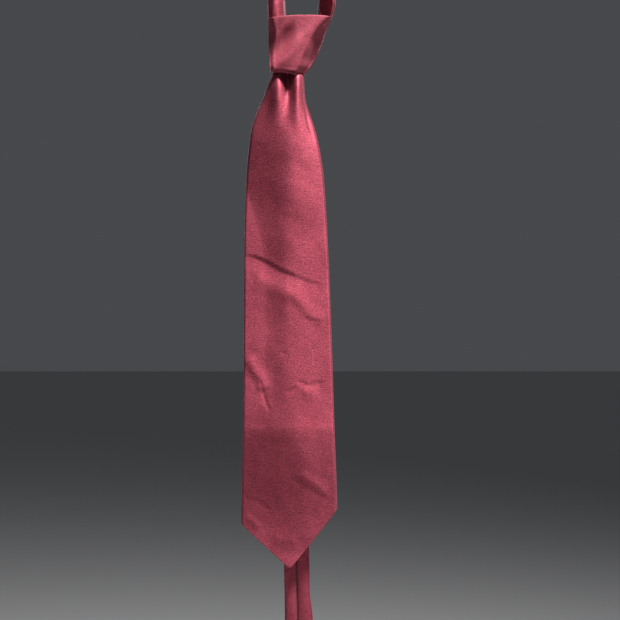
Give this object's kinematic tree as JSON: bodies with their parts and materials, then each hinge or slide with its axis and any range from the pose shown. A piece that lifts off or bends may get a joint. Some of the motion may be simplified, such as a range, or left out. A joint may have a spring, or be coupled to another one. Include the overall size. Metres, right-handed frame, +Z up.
{
  "type": "necktie",
  "caption": "Ready-tied necktie with a wide pointed satin blade under a moulded cloth-covered knot that slides on a zipped double strap forming the neck loop.",
  "frame": {"origin": "the point inside the top of the neck loop's arch that rests on a hook or hanger", "axes": "+Z up along the hanging tie, -Y out of the tie's front face, +X to the viewer's right"},
  "size_m": [0.08, 0.022, 0.6275],
  "materials": {
    "satin": "satin weave, burgundy",
    "lining": "smooth lining cloth, dark red",
    "interlining": "brushed wool cloth, off-white",
    "zip_tape": "woven tape, dusty red",
    "zip_teeth": "nylon coil, dark red",
    "zip_metal": "stamped, satin",
    "former_plastic": "moulded, matte black",
    "thread": "twisted polyester thread"
  },
  "bodies": {
    "neck_loop": {"neck_band_left": "satin", "neck_band_right": "satin", "neck_interlining_left": "interlining", "neck_interlining_right": "interlining", "neck_join_stitches": "thread", "neck_zip_tape_left": "zip_tape", "neck_zip_tape_right": "zip_tape", "neck_zip_teeth_left": "zip_teeth", "neck_zip_teeth_right": "zip_teeth", "zip_top_stops": "zip_metal"},
    "strap": {"strap_tube_left": "satin", "strap_tube_right": "satin", "strap_interlining_left": "interlining", "strap_interlining_right": "interlining", "strap_zip_tape_left": "zip_tape", "strap_zip_tape_right": "zip_tape", "strap_zip_teeth_left": "zip_teeth", "strap_zip_teeth_right": "zip_teeth"},
    "tail": {"tail_tube_left": "satin", "tail_tube_right": "satin", "tail_interlining_left": "interlining", "tail_interlining_right": "interlining", "tail_zip_tape_left": "zip_tape", "tail_zip_tape_right": "zip_tape", "tail_zip_teeth_left": "zip_teeth", "tail_zip_teeth_right": "zip_teeth", "zip_bottom_stop": "zip_metal", "tail_end_binding": "satin"},
    "knot": {"knot_wrap_front": "satin", "knot_wrap_under": "satin", "knot_padding": "interlining", "knot_throat_gather": "satin", "knot_former": "former_plastic", "knot_back_cover": "satin", "knot_back_stitches": "thread", "zip_slider": "zip_metal", "slider_rivets": "zip_metal"},
    "blade": {"blade_shell": "satin", "blade_interlining": "interlining", "blade_tipping": "lining", "blade_seam_stitches": "thread", "blade_bar_tack": "thread", "keeper_loop": "satin"}
  },
  "joints": [
    {"name": "loop_tilt", "type": "hinge", "parent": "neck_loop", "child": "strap", "pos_m": [0, 0, -0.0735], "axis": [-1, 0, 0], "range_deg": [0, 80]},
    {"name": "knot_slide", "type": "slide", "parent": "strap", "child": "knot", "axis": [0.0194, 0, -0.9998], "range_m": [0, 0.28]},
    {"name": "blade_swing", "type": "hinge", "parent": "knot", "child": "blade", "pos_m": [-0.0115, -0.0068, -0.1275], "axis": [-1, 0, 0], "range_deg": [0, 70]},
    {"name": "tail_swing", "type": "hinge", "parent": "strap", "child": "tail", "pos_m": [-0.006, 0, -0.415], "axis": [1, 0, 0], "range_deg": [0, 60]}
  ]
}
